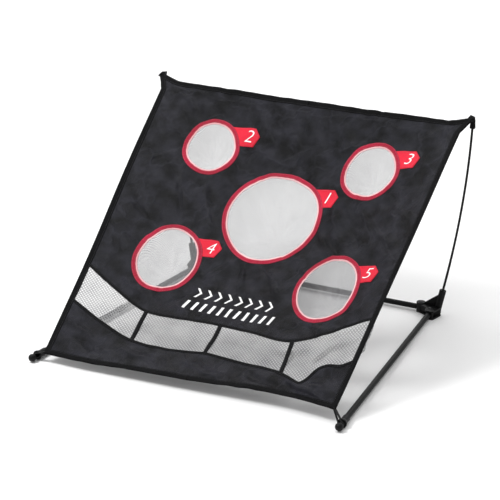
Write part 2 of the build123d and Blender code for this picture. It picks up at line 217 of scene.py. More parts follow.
def relief(u, v):
    """Height of the creases and ripples in the cloth above its smooth surface."""
    total = np.zeros(np.broadcast(u, v).shape)
    bent_u = u + 0.007 * np.sin(19 * v + 2) + 0.004 * np.sin(47 * v + 31 * u)
    bent_v = v + 0.007 * np.sin(23 * u + 1) + 0.004 * np.sin(53 * u - 29 * v)
    for u0, v0, u1, v1, width, height in CREASES:
        du, dv = u1 - u0, v1 - v0
        length = math.hypot(du, dv)
        along = ((bent_u - u0) * du + (bent_v - v0) * dv) / length**2
        across = ((bent_u - u0) * dv - (bent_v - v0) * du) / length
        fade = smooth_step(np.clip(along * (1 - along) * 4, 0, 1))
        total += CREASE_GAIN * height * fade * np.exp(-((across / width) ** 2))
    for cycles, direction, phase in RIPPLES:
        wave = math.tau * cycles * (bent_u * math.cos(direction) + bent_v * math.sin(direction)) + phase
        total += RIPPLE_GAIN / cycles * np.sin(wave)
    held = smooth_step((side_u(v) - np.abs(u)) / HEM_HOLD)
    return total * (0.06 + 0.94 * held)


def window_folds(u, v):
    """Long slack folds in the netting, which die out at its bindings."""
    low, high = window_low(u), window_top(u)
    t = np.clip((v - low) / np.maximum(high - low, 1e-6), 0, 1)
    hold = np.sin(math.pi * t)
    slack = 0.45 + 0.9 * smooth_step((u - 0.02) / 0.30)
    broad = 0.0045 * np.sin(math.tau * (2.1 * t + 2.3 * u) + 0.8)
    narrow = 0.0022 * np.sin(math.tau * (3.4 * t - 5.0 * u))
    return hold * slack * (broad + narrow - 0.008 * hold)


def on_cloth(u, v, height=0.0):
    """Places on the cloth's creased surface, at a height above it."""
    u, v, height = np.broadcast_arrays(*(np.asarray(x, float) for x in (u, v, height)))
    s = v / SLOPE_LENGTH
    sag = SAG_DEPTH * 4 * s * (1 - s) * (1 - (u / SAG_HALF_WIDTH) ** 2)
    lift = height - sag + relief(u, v)
    return FOOT + u[..., None] * ACROSS + v[..., None] * UPHILL + lift[..., None] * OUTWARD


def cloth_normals(u, v, shape=on_cloth):
    """Unit normals of the creased surface."""
    step = 0.0008
    run = shape(u + step, v) - shape(u - step, v)
    rise = shape(u, v + step) - shape(u, v - step)
    normal = np.cross(run, rise)
    return normal / np.linalg.norm(normal, axis=-1, keepdims=True)


def netting_surface(u, v, height=0.0):
    return on_cloth(u, v, height + window_folds(u, v))


# ---------------------------------------------------------------- materials


class Nodes:
    """Short names for building one material's node tree."""

    def __init__(self, name):
        self.material = bpy.data.materials.new(name)
        self.material.use_nodes = True
        self.tree = self.material.node_tree
        self.tree.nodes.clear()
        self.out = self.add("ShaderNodeOutputMaterial")
        coordinates = self.add("ShaderNodeTexCoord")
        self.place = self.add("ShaderNodeMapping")
        self.place.inputs["Rotation"].default_value = (-TILT, 0, 0)
        self.link(coordinates.outputs["Object"], self.place.inputs["Vector"])
        self.at = self.place.outputs["Vector"]

    def add(self, kind, **settings):
        node = self.tree.nodes.new(kind)
        for key, value in settings.items():
            setattr(node, key, value)
        return node

    def link(self, source, target):
        self.tree.links.new(source, target)

    def math(self, operation, a, b=0.0):
        node = self.add("ShaderNodeMath", operation=operation)
        for index, value in enumerate((a, b)):
            if isinstance(value, (int, float)):
                node.inputs[index].default_value = value
            else:
                self.link(value, node.inputs[index])
        return node.outputs[0]

    def noise(self, scale, detail=3.0, stretch=None):
        source = self.at
        if stretch:
            scaled = self.add("ShaderNodeMapping")
            scaled.inputs["Scale"].default_value = stretch
            self.link(self.at, scaled.inputs["Vector"])
            source = scaled.outputs["Vector"]
        node = self.add("ShaderNodeTexNoise")
        node.inputs["Scale"].default_value = scale
        node.inputs["Detail"].default_value = detail
        self.link(source, node.inputs["Vector"])
        return node.outputs["Fac"]

    def ramp(self, factor, stops):
        node = self.add("ShaderNodeValToRGB")
        ramp = node.color_ramp
        while len(ramp.elements) < len(stops):
            ramp.elements.new(0.5)
        for element, (position, colour) in zip(ramp.elements, stops):
            element.position = position
            element.color = (*colour, 1)
        self.link(factor, node.inputs["Fac"])
        return node.outputs["Color"]

    def level(self, factor, low, high):
        node = self.add("ShaderNodeMapRange")
        node.inputs["To Min"].default_value = low
        node.inputs["To Max"].default_value = high
        self.link(factor, node.inputs["Value"])
        return node.outputs["Result"]

    def weave(self, pitch):
        """Height of a plain weave with this thread pitch."""
        axes = self.add("ShaderNodeSeparateXYZ")
        self.link(self.at, axes.inputs[0])
        turns = [self.math("MULTIPLY", axes.outputs[axis], math.tau / pitch) for axis in (0, 1)]
        return self.math("MULTIPLY", self.math("SINE", turns[0]), self.math("SINE", turns[1]))

    def bump(self, height, strength, distance):
        node = self.add("ShaderNodeBump")
        node.inputs["Strength"].default_value = strength
        node.inputs["Distance"].default_value = distance
        self.link(height, node.inputs["Height"])
        return node.outputs["Normal"]

    def surface(self, colour, roughness, normal=None, **sockets):
        shader = self.add("ShaderNodeBsdfPrincipled")
        self.link(colour, shader.inputs["Base Color"])
        self.link(roughness, shader.inputs["Roughness"])
        if normal is not None:
            self.link(normal, shader.inputs["Normal"])
        for key, value in sockets.items():
            shader.inputs[key.replace("_", " ")].default_value = value
        self.link(shader.outputs[0], self.out.inputs["Surface"])
        return shader


def woven(name, dark, light, pitch, roughness, sheen, crumple=0.5, gloss=0.4, folds=0.0):
    """Woven cloth: colour drifts in patches, and threads, crumples and soft folds stand in the bump. With
    folds, the colour patches are painted fold sheen and shade, and the crease ridges are painted highlights.
    """
    n = Nodes(name)
    # plain tone drift; with folds, painted fold sheen and shade
    tone_and_fold_sheen = n.noise(22.0 if folds else 9.0, 5.0)
    threads = n.math("MULTIPLY", n.weave(pitch), 0.22)
    height = n.math("ADD", threads, n.math("MULTIPLY", n.noise(70.0, 5.0), crumple))
    if folds:
        off_line = n.math("ABSOLUTE", n.math("SUBTRACT", n.noise(8.0, 3.0), 0.5))
        ridge = n.math("MAXIMUM", n.math("SUBTRACT", 1.0, n.math("MULTIPLY", off_line, 30.0)), 0.0)
        height = n.math("ADD", height, n.math("MULTIPLY", n.noise(17.0, 4.0), folds))
        height = n.math("ADD", height, n.math("MULTIPLY", ridge, folds * 0.13))
        # painted highlight: the crease ridges lighten the colour
        tone_and_fold_sheen = n.math("ADD", tone_and_fold_sheen, n.math("MULTIPLY", ridge, 0.13))
    colour = n.ramp(tone_and_fold_sheen, [(0.34, dark), (0.68, light)])
    shine = n.level(n.noise(38.0, 4.0), roughness - 0.07, roughness + 0.09)
    n.surface(
        colour, shine, n.bump(height, 0.55, 0.0012),
        Sheen_Weight=sheen, Sheen_Roughness=0.45, Specular_IOR_Level=gloss,
    )
    return n.material


def netting(name, cell, thread, see_through, dark, light):
    """Polyester netting: crossing threads hold the light, and the gaps between them let it pass."""
    n = Nodes(name)
    turned = n.add("ShaderNodeMapping")
    turned.inputs["Rotation"].default_value = (0, 0, math.radians(38))
    n.link(n.at, turned.inputs["Vector"])
    axes = n.add("ShaderNodeSeparateXYZ")
    n.link(turned.outputs["Vector"], axes.inputs[0])
    gaps = []
    for axis in (0, 1):
        share = n.math("FRACT", n.math("DIVIDE", axes.outputs[axis], cell))
        gaps.append(n.math("ABSOLUTE", n.math("SUBTRACT", share, 0.5)))
    nearest = n.math("MAXIMUM", gaps[0], gaps[1])
    cover = n.math("GREATER_THAN", nearest, 0.5 - thread / 2)
    density = n.level(n.noise(24.0, 4.0), 0.92, 1.08)
    opacity = n.math("MULTIPLY", n.level(cover, 0.62 - see_through, 1.22 - see_through), density)
    colour = n.ramp(n.noise(16.0, 4.0), [(0.25, dark), (0.75, light)])
    diffuse = n.add("ShaderNodeBsdfPrincipled")
    n.link(colour, diffuse.inputs["Base Color"])
    diffuse.inputs["Roughness"].default_value = 0.6
    n.link(n.bump(nearest, 0.5, 0.0006), diffuse.inputs["Normal"])
    glow = n.add("ShaderNodeBsdfTranslucent")
    n.link(colour, glow.inputs["Color"])
    threads = n.add("ShaderNodeMixShader")
    threads.inputs["Fac"].default_value = 0.35
    n.link(diffuse.outputs[0], threads.inputs[1])
    n.link(glow.outputs[0], threads.inputs[2])
    clear = n.add("ShaderNodeBsdfTransparent")
    mixed = n.add("ShaderNodeMixShader")
    n.link(opacity, mixed.inputs["Fac"])
    n.link(clear.outputs[0], mixed.inputs[1])
    n.link(threads.outputs[0], mixed.inputs[2])
    n.link(mixed.outputs[0], n.out.inputs["Surface"])
    return n.material


def moulded(name, dark, light, roughness, grain, depth, metallic=0.0, stretch=None):
    """Moulded plastic, paint or metal: uneven gloss and a fine grain."""
    n = Nodes(name)
    colour = n.ramp(n.noise(30.0, 4.0, stretch), [(0.3, dark), (0.75, light)])
    shine = n.level(n.noise(grain * 0.35, 5.0, stretch), roughness - 0.1, roughness + 0.1)
    n.surface(
        colour, shine, n.bump(n.noise(grain, 3.0, stretch), 0.4, depth),
        Metallic=metallic, Specular_IOR_Level=0.5 if metallic else 0.15,
    )
    return n.material


# The span from dark to light is painted fold sheen and shade on the near-black cloth
panel_black = woven(
    "panel_black", (0.0006, 0.0006, 0.0013), (0.0150, 0.0150, 0.0205),
    pitch=0.0011, roughness=0.34, sheen=0.0, crumple=0.8, gloss=0.15, folds=16.0,
)
hem_black = woven(
    "hem_black", (0.0012, 0.0012, 0.0015), (0.0028, 0.0028, 0.0034),
    pitch=0.0014, roughness=0.55, sheen=0.0, crumple=0.3, gloss=0.08,
)
webbing_black = woven(
    "webbing_black", (0.002, 0.002, 0.0024), (0.006, 0.006, 0.007),
    pitch=0.0016, roughness=0.6, sheen=0.02, gloss=0.25,
)
ring_red = woven(
    "ring_red", (0.290, 0.003, 0.022), (0.430, 0.006, 0.040),
    pitch=0.0011, roughness=0.45, sheen=0.02, crumple=0.4, gloss=0.25,
)
tab_red = woven(
    "tab_red", (0.600, 0.006, 0.026), (0.740, 0.011, 0.040),
    pitch=0.0011, roughness=0.45, sheen=0.02, crumple=0.4, gloss=0.25,
)
seam_pink = woven(
    "seam_pink", (0.700, 0.360, 0.380), (0.860, 0.600, 0.610), pitch=0.0010, roughness=0.6, sheen=0.05
)
thread_red = woven(
    "thread_red", (0.520, 0.070, 0.110), (0.680, 0.150, 0.190), pitch=0.0006, roughness=0.5, sheen=0.1
)
thread_black = woven(
    "thread_black", (0.016, 0.016, 0.019), (0.034, 0.034, 0.038), pitch=0.0006, roughness=0.5, sheen=0.05
)
print_white = woven(
    "print_white", (0.84, 0.84, 0.84), (0.94, 0.94, 0.94), pitch=0.0011, roughness=0.5, sheen=0.0
)
net_white = netting(
    "net_white", cell=0.0025, thread=0.55, see_through=0.50,
    dark=(0.25, 0.25, 0.26), light=(0.31, 0.31, 0.315),
)
window_net = netting(
    "window_net", cell=0.0068, thread=0.50, see_through=0.38,
    dark=(0.24, 0.24, 0.25), light=(0.44, 0.44, 0.44),
)

FRAME_FINISH = {
    "black_tube": moulded(
        "tube_black", (0.0015, 0.0015, 0.0018), (0.005, 0.005, 0.0056), roughness=0.50, grain=900, depth=0.0002
    ),
    "hub_plastic": moulded(
        "hub_black", (0.003, 0.003, 0.0033), (0.008, 0.008, 0.0088), roughness=0.50, grain=1400, depth=0.0004
    ),
    "fitting_plastic": moulded(
        "fitting_black", (0.003, 0.003, 0.0033), (0.008, 0.008, 0.0088),
        roughness=0.45, grain=1400, depth=0.0003,
    ),
    "ferrule_metal": moulded(
        "ferrule_dark", (0.10, 0.10, 0.105), (0.16, 0.16, 0.165),
        roughness=0.33, grain=800, depth=0.0002, metallic=0.9,
    ),
    "cap_rubber": moulded(
        "cap_rubber", (0.004, 0.004, 0.004), (0.008, 0.008, 0.008), roughness=0.70, grain=1600, depth=0.0004
    ),
    "pole_glassfibre": moulded(
        "pole_black", (0.002, 0.002, 0.0024), (0.007, 0.007, 0.008),
        roughness=0.40, grain=700, depth=0.0003, stretch=(6.0, 6.0, 0.5),
    ),
    "pin_steel": moulded(
        "pin_steel", (0.030, 0.030, 0.032), (0.060, 0.060, 0.063),
        roughness=0.38, grain=900, depth=0.0002, metallic=1.0,
    ),
}


# ---------------------------------------------------------------- bodies that the cloth crosses


def flat_point(u, v):
    return FOOT + u * ACROSS + v * UPHILL


def corner_zone(body, side, middle_v, corner_v, corner_u):
    """The blend from the middle of the cloth to a corner. It starts at a line between two edge middles."""
    a = np.array([0.0, middle_v])
    b = np.array([side * 0.460, SPLIT_V])
    corner = np.array([side * corner_u, corner_v])
    start = a + (b - a) * ((corner - a) @ (b - a)) / ((b - a) @ (b - a))
    return ("root", body, tuple(flat_point(*start)), tuple(flat_point(*corner)))


ZONES = {
    "low_left": corner_zone("left_leg", -1, 0.0, 0.004, 0.436),
    "low_right": corner_zone("right_leg", 1, 0.0, 0.010, 0.436),
    "high_left": corner_zone("left_pole_set", -1, 0.975, 0.957, 0.480),
    "high_right": corner_zone("right_pole_set", 1, 0.975, 0.957, 0.480),
}
TARGET_ZONES = {1: "root", 2: "high_left", 3: "high_right", 4: "low_left", 5: "low_right"}


def attach(piece, zone):
    """Make a piece follow one body; a corner piece keeps its place with its transform baked into its mesh."""
    if zone in ZONES:
        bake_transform(piece)
    else:
        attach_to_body(piece, zone)


# ---------------------------------------------------------------- mesh building


class Build:
    """Gathers vertices and faces of one piece."""

    def __init__(self):
        self.points = []
        self.faces = []
        self.marks = []
        self.count = 0

    def add(self, points, faces, mark=0):
        points = np.asarray(points, float).reshape(-1, 3)
        self.points.append(points)
        self.faces += [[int(i) + self.count for i in face] for face in faces]
        self.marks += [mark] * len(faces)
        self.count += len(points)

    def bridge(self, faces):
        """Faces between vertices that the piece already has."""
        self.faces += [[int(i) for i in face] for face in faces]
        self.marks += [0] * len(faces)

    def make(self, name, materials, zone, outward=True):
        mesh = bpy.data.meshes.new(name)
        mesh.from_pydata(np.concatenate(self.points).tolist(), [], self.faces)
        for material in materials:
            mesh.materials.append(material)
        mesh.polygons.foreach_set("material_index", self.marks)
        mesh.polygons.foreach_set("use_smooth", [True] * len(self.faces))
        if outward:
            work = bmesh.new()
            work.from_mesh(mesh)
            bmesh.ops.recalc_face_normals(work, faces=work.faces)
            work.to_mesh(mesh)
            work.free()
        mesh.update()
        piece = bpy.data.objects.new(name, mesh)
        bpy.context.scene.collection.objects.link(piece)
        attach(piece, zone)
        return piece


def tangents(path, closed):
    if closed:
        run = np.roll(path, -1, 0) - np.roll(path, 1, 0)
    else:
        run = np.gradient(path, axis=0)
    return run / np.linalg.norm(run, axis=1, keepdims=True)


def sweep(build, path, section, closed=False, pucker=0.0, pitch=0.011, mark=0):
    """Carry a closed cross-section, as points (to the left, height), along a flat path on the cloth."""
    path, section = np.asarray(path, float), np.asarray(section, float)
    run = tangents(path, closed)
    left = np.stack([-run[:, 1], run[:, 0]], 1)
    steps = np.linalg.norm(np.diff(path, axis=0), axis=1)
    length = np.concatenate([[0], np.cumsum(steps)])
    turn = math.tau * length / pitch
    gather = 1 + pucker * np.sin(turn) + 0.6 * pucker * np.sin(turn / 2.7)
    u = path[:, None, 0] + left[:, None, 0] * section[None, :, 0]
    v = path[:, None, 1] + left[:, None, 1] * section[None, :, 0]
    points = on_cloth(u, v, section[None, :, 1] * gather[:, None])
    rows, columns = len(path), len(section)
    last = rows if closed else rows - 1
    faces = []
    for i in range(last):
        for j in range(columns):
            a, b = i * columns, (i + 1) % rows * columns
            k = (j + 1) % columns
            faces.append((a + j, b + j, b + k, a + k))
    if not closed:
        faces.append(tuple(range(columns - 1, -1, -1)))
        faces.append(tuple((rows - 1) * columns + j for j in range(columns)))
    build.add(points, faces, mark)


STITCH = np.array(
    [(-0.5, 0, 0), (-0.3, 1, 0), (-0.3, 0, 1), (-0.3, -1, 0), (-0.3, 0, -1)]
    + [(0.3, 1, 0), (0.3, 0, 1), (0.3, -1, 0), (0.3, 0, -1), (0.5, 0, 0)]
)
STITCH_FACES = (
    [(0, 1 + (k + 1) % 4, 1 + k) for k in range(4)]
    + [(1 + k, 1 + (k + 1) % 4, 5 + (k + 1) % 4, 5 + k) for k in range(4)]
    + [(9, 5 + k, 5 + (k + 1) % 4) for k in range(4)]
)


def sew(build, path, aside, height, mark, closed=False, pitch=0.0046, length=0.0033, radius=0.00042):
    """A row of stitches beside a flat path on the cloth."""
    path = np.asarray(path, float)
    run = tangents(path, closed)
    line = path + np.stack([-run[:, 1], run[:, 0]], 1) * aside
    if closed:
        line = np.concatenate([line, line[:1]])
    distance = np.concatenate([[0], np.cumsum(np.linalg.norm(np.diff(line, axis=0), axis=1))])
    count = max(2, int(distance[-1] / pitch))
    middles = (np.arange(count) + 0.5) * distance[-1] / count
    ends = np.stack([middles - length / 2, middles + length / 2])
    u, v = (np.interp(ends, distance, line[:, axis]) for axis in (0, 1))
    start, stop = on_cloth(u, v, height)
    along = stop - start
    side = np.cross(OUTWARD, along)
    side = side / np.linalg.norm(side, axis=1, keepdims=True)
    centre = (start + stop) / 2
    for k in range(count):
        points = (
            centre[k]
            + STITCH[:, :1] * along[k]
            + STITCH[:, 1:2] * side[k] * radius
            + STITCH[:, 2:3] * OUTWARD * radius
        )
        build.add(points, STITCH_FACES, mark)


def line_of(function, u0, u1, step=0.004):
    """A flat path of points (u, function(u))."""
    u = np.linspace(u0, u1, max(3, int(abs(u1 - u0) / step)))
    return np.stack([u, function(u)], 1)


def side_path(side, v0, v1, step=0.004):
    v = np.linspace(v0, v1, max(3, int(abs(v1 - v0) / step)))
    return np.stack([side * side_u(v), v], 1)


def ellipse(u, v, half_width, half_height, count=180, wobble=0.0):
    """A closed flat path round a target, slightly out of true as sewn work is."""
    angle = np.arange(count) * math.tau / count
    swell = 1 + wobble * (np.sin(3 * angle + u * 40) + 0.6 * np.sin(5 * angle + v * 60))
    return np.stack([u + half_width * swell * np.cos(angle), v + half_height * swell * np.sin(angle)], 1)


# ---------------------------------------------------------------- one flat cutting plan for all the cloth

RING_WOBBLE = 0.013
hole_loops = [
    ellipse(u, v, w - RING_WIDTH / 2, h - RING_WIDTH / 2, wobble=RING_WOBBLE)
    for _, u, v, w, h, _, _ in TARGETS
]
low_left_v = float(bottom_v(np.array(-0.446)))
low_right_v = float(bottom_v(np.array(0.440)))
corner_us = {-1: float(side_u(low_left_v)), 1: float(side_u(low_right_v))}
EAR_TIP_U = SIDE_HIGH[0] + EAR_U
EAR_TIP_V = TOP_V + EAR_V

bottom_path = line_of(bottom_v, -corner_us[-1], corner_us[1])
right_path = side_path(1, low_right_v, EAR_TIP_V)
top_path = line_of(top_v, EAR_TIP_U, -EAR_TIP_U)
left_path = side_path(-1, EAR_TIP_V, low_left_v)


def inside_hole(u, v):
    found = np.zeros(np.shape(u), bool)
    for _, cu, cv, w, h, _, _ in TARGETS:
        angle = np.arctan2((v - cv) / h, (u - cu) / w)
        swell = 1 + RING_WOBBLE * (np.sin(3 * angle + cu * 40) + 0.6 * np.sin(5 * angle + cv * 60))
        reach = np.hypot((u - cu) / (w - RING_WIDTH / 2), (v - cv) / (h - RING_WIDTH / 2))
        found |= reach < swell
    return found


def divider_u(index, v):
    (u1, v1), (u0, v0) = DIVIDERS[index]
    return u0 + (u1 - u0) * (v - v0) / (v1 - v0)


PIECES = [
    "none", "panel_high_left", "panel_high_right", "panel_low_left", "panel_low_right",
    "apron_left", "apron_right", "window_1", "window_2", "window_3", "window_4",
]


def piece_at(u, v):
    """Which piece of cloth covers each place of the flat plan, as an index into PIECES."""
    within = (v > bottom_v(u)) & (v < top_v(u)) & (np.abs(u) < side_u(v)) & ~inside_hole(u, v)
    window = PIECES.index("window_1") + sum((u > divider_u(k, v)).astype(int) for k in range(3))
    panel = PIECES.index("panel_high_left") + (u > 0) + 2 * (v < SPLIT_V)
    apron = PIECES.index("apron_left") + (u > 0)
    found = np.where(v > window_top(u), panel, np.where(v < window_low(u), apron, window))
    return np.where(within, found, 0)


def cutting_plan():
    """Triangles of the whole flat cloth that keep to every edge, so that neighbours share their points."""
    points, edges = [], []

    def chain(path, closed=False):
        first = len(points)
        points.extend(Vector(p) for p in np.asarray(path, float))
        edges.extend((first + k, first + k + 1) for k in range(len(path) - 1))
        if closed:
            edges.append((len(points) - 1, first))

    chain(np.concatenate([bottom_path[:-1], right_path[:-1], top_path[:-1], left_path[:-1]]), True)
    for loop in hole_loops:
        chain(loop, True)
    chain(line_of(window_top, -0.470, 0.470))
    chain(line_of(window_low, -0.470, 0.470))
    for top, low in DIVIDERS:
        chain(np.linspace(top, low, 24))
    chain(np.linspace((-0.470, SPLIT_V), (0.470, SPLIT_V), 180))
    chain(np.linspace((0.0, 0.0), (0.0, 0.975), 180))
    us = np.arange(-0.49, 0.49, GRID)
    vs = np.arange(-0.01, 0.975, GRID * 0.866)
    u, v = np.meshgrid(us, vs)
    u = u + (np.arange(len(vs)) % 2)[:, None] * GRID / 2
    keep = piece_at(u, v) > 0
    points.extend(Vector(p) for p in np.stack([u[keep], v[keep]], 1))
    made = delaunay_2d_cdt(points, edges, [], 0, 1e-5)
    flat = np.array([(p[0], p[1]) for p in made[0]])
    triangles = np.array([f for f in made[2] if len(f) == 3])
    return flat, triangles


flat_points, flat_triangles = cutting_plan()
centres = flat_points[flat_triangles].mean(1)
labels = piece_at(centres[:, 0], centres[:, 1])


def flat_area(corners):
    first, second = corners[:, 1] - corners[:, 0], corners[:, 2] - corners[:, 0]
    return float(np.abs(first[:, 0] * second[:, 1] - first[:, 1] * second[:, 0]).sum() / 2)


def cloth_piece(name, material, zone, shape=on_cloth, half=CLOTH_HALF):
    """One piece of the cutting plan: a thin closed sheet, or a single layer of netting where half is 0."""
    chosen = flat_triangles[labels == PIECES.index(name)]
    used, triangles = np.unique(chosen, return_inverse=True)
    triangles = triangles.reshape(-1, 3)
    flat = flat_points[used]
    u, v = flat[:, 0], flat[:, 1]
    a, b, c = (flat[triangles[:, k]] for k in range(3))
    turned = (b[:, 0] - a[:, 0]) * (c[:, 1] - a[:, 1]) - (b[:, 1] - a[:, 1]) * (c[:, 0] - a[:, 0]) < 0
    triangles[turned] = triangles[turned][:, ::-1]
    normals = cloth_normals(u, v, shape)
    build = Build()
    if half:
        build.add(shape(u, v, half), triangles)
        build.add(shape(u, v, -half), triangles[:, ::-1])
        count = len(used)
        directed = {(int(t[k]), int(t[(k + 1) % 3])) for t in triangles for k in range(3)}
        rim = [(p, q) for p, q in directed if (q, p) not in directed]
        build.bridge([(q, p, p + count, q + count) for p, q in sorted(rim)])
        normals = np.concatenate([normals, -normals])
    else:
        build.add(shape(u, v), triangles)
    piece = build.make(name, [material], zone, outward=False)
    piece.data.normals_split_custom_set_from_vertices(normals.tolist())
    size = flat.max(0) - flat.min(0)
    return piece, tuple(float(x) for x in size), flat_area(flat[triangles])


# ---------------------------------------------------------------- panel, apron and windows

for name, zone in (
    ("panel_high_left", "high_left"),
    ("panel_high_right", "high_right"),
    ("panel_low_left", "low_left"),
    ("panel_low_right", "low_right"),
):
    cloth_piece(name, panel_black, zone)
    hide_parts("target_panel")
for name, zone in (("apron_left", "low_left"), ("apron_right", "low_right")):
    cloth_piece(name, panel_black, zone)
    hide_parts("lower_apron")
for number in (1, 2, 3, 4):
    name = f"window_{number}"
    zone = "low_left" if number < 3 else "low_right"
    cloth_piece(name, window_net, zone, netting_surface, 0.0)
    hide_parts(f"mesh_window_{number}")

# ---------------------------------------------------------------- hems and bindings

FOLDED_HEM = [
    (-0.0010, 0.0), (0.0, 0.0018), (0.003, 0.0027), (0.008, 0.0022), (0.0130, 0.0013), (0.0148, 0.0018),
    (0.0160, 0.0008), (0.0160, -0.0010), (0.0130, -0.0013), (0.006, -0.0022), (0.0, -0.0016),
]
BINDING = [
    (-0.0045, 0.0006), (-0.0038, 0.0016), (-0.0022, 0.0012), (0.0, 0.0018), (0.0022, 0.0012),
    (0.0038, 0.0016), (0.0045, 0.0006), (0.0045, -0.0008), (0.0, -0.0012), (-0.0045, -0.0008),
]
RIM_HEM_STITCH = 0.0130


def hem(name, path, zone, section=FOLDED_HEM, stitch_asides=(RIM_HEM_STITCH,)):
    """A hem or binding along a flat path, with its rows of stitches."""
    build = Build()
    sweep(build, path, section, pucker=0.10)
    for aside in stitch_asides:
        sew(build, path, aside, 0.0014, 1)
    return build.make(name, [hem_black, thread_black], zone)


bottom_middle = len(bottom_path) // 2
hem("bottom_hem_left", bottom_path[: bottom_middle + 1], "low_left")
hem("bottom_hem_right", bottom_path[bottom_middle:], "low_right")
top_middle = len(top_path) // 2
hem("top_hem_right", top_path[: top_middle + 1], "high_right")
hem("top_hem_left", top_path[top_middle:], "high_left")
hem("right_side_hem_low", side_path(1, low_right_v, SPLIT_V), "low_right")
hem("right_side_hem_high", side_path(1, SPLIT_V, EAR_TIP_V), "high_right")
hem("left_side_hem_high", side_path(-1, EAR_TIP_V, SPLIT_V), "high_left")
hem("left_side_hem_low", side_path(-1, SPLIT_V, low_left_v), "low_left")
for side in ("left", "right"):
    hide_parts("bottom_hem")
    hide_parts("top_hem")
    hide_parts(f"{side}_side_hem")
    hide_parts(f"{side}_side_hem")

BINDING_ROWS = (-0.0022, 0.0022)
DIVIDER_BINDING = [(1.35 * aside, height) for aside, height in BINDING]
for label, function in (("top", window_top), ("low", window_low)):
    for side, u0, u1 in (("left", -0.438, 0.0), ("right", 0.0, 0.436)):
        name = f"window_{label}_binding_{side}"
        hem(name, line_of(function, u0, u1), f"low_{side}", BINDING, BINDING_ROWS)
for number, (top, low), zone in zip((1, 2, 3), DIVIDERS, ("low_left", "root", "low_right")):
    name = f"divider_{number}"
    hem(name, np.linspace(top, low, 28), zone, DIVIDER_BINDING, BINDING_ROWS)
    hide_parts(f"window_divider_{number}")

# ---------------------------------------------------------------- targets

RING_SECTION = [
    (0.0, 0.0002), (0.0008, 0.0017), (0.0024, 0.0016), (0.0060, 0.0026), (0.0100, 0.0017),
    (0.0117, 0.0018), (RING_WIDTH, 0.0004), (RING_WIDTH, -0.0012), (0.0060, -0.0018), (0.0004, -0.0012),
]
SEAM_SECTION = [
    (RING_WIDTH - 0.002, 0.0004), (RING_WIDTH, 0.0012), (RING_WIDTH + 0.0038, 0.0010),
    (RING_WIDTH + 0.0044, 0.0), (RING_WIDTH, -0.0008), (RING_WIDTH - 0.002, -0.0004),
]
POCKET_ROWS = 22
POCKET_COLUMNS = 120
UNDER_CLOTH = -0.0006


def target_ring(number, u, v, w, h):
    path = ellipse(u, v, w, h, 240, RING_WOBBLE)
    build = Build()
    sweep(build, path, RING_SECTION, closed=True, pucker=0.22, pitch=0.009)
    sweep(build, path, SEAM_SECTION, closed=True, pucker=0.30, pitch=0.007, mark=1)
    sew(build, path, 0.0024, 0.0017, 2, closed=True)
    sew(build, path, 0.0100, 0.0018, 2, closed=True)
    colours = [ring_red, seam_pink, thread_red]
    ring = build.make(f"ring_{number}", colours, TARGET_ZONES[number])
    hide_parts(f"target_ring_{number}")
    return ring


def pocket(number, u, v, w, h, depth):
    """A net bag that hangs from the inner edge of a ring."""
    normal = cloth_normals(np.array([u]), np.array([v]))[0]
    hang = np.array([0.0, 0.0, -1.0]) - normal
    hang = hang / np.linalg.norm(hang)
    mouth = ellipse(u, v, w - RING_WIDTH * 0.6, h - RING_WIDTH * 0.6, POCKET_COLUMNS, RING_WOBBLE)
    middle = np.array([u, v])
    angle = np.arange(POCKET_COLUMNS) * math.tau / POCKET_COLUMNS
    wave = np.sin(9 * angle + number) + 0.6 * np.sin(14 * angle + 2 * number) + 0.5 * np.sin(5 * angle)
    rows = []
    for t in np.sin(np.linspace(math.pi / 2, 0, POCKET_ROWS))[:-1]:
        flat = middle + (mouth - middle) * t
        fall = (1 - t**3) ** 0.625
        crumple = 0.0030 * wave * math.sin(math.pi * t) * t
        rows.append(on_cloth(flat[:, 0], flat[:, 1], UNDER_CLOTH + crumple) + hang * depth * fall)
    bottom = on_cloth(u, v, UNDER_CLOTH) + hang * depth
    points = np.concatenate([*rows, bottom[None]])
    count = POCKET_COLUMNS
    faces = []
    for i in range(len(rows) - 1):
        for j in range(count):
            k = (j + 1) % count
            faces.append((i * count + j, i * count + k, (i + 1) * count + k, (i + 1) * count + j))
    start = (len(rows) - 1) * count
    faces += [(start + j, start + (j + 1) % count, len(points) - 1) for j in range(count)]
    build = Build()
    build.add(points, faces)
    zone = TARGET_ZONES[number]
    bag = build.make(f"pocket_{number}", [net_white], zone, outward=False)
    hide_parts(f"mesh_pocket_{number}")
    corners = np.array([[points[f[0]], points[f[1]], points[f[2]]] for f in faces])
    quads = np.array([[points[f[0]], points[f[2]], points[f[-1]]] for f in faces if len(f) == 4])
    area = sum(
        float(np.linalg.norm(np.cross(c[:, 1] - c[:, 0], c[:, 2] - c[:, 0]), axis=1).sum() / 2)
        for c in (corners, quads)
    )
    return bag, area


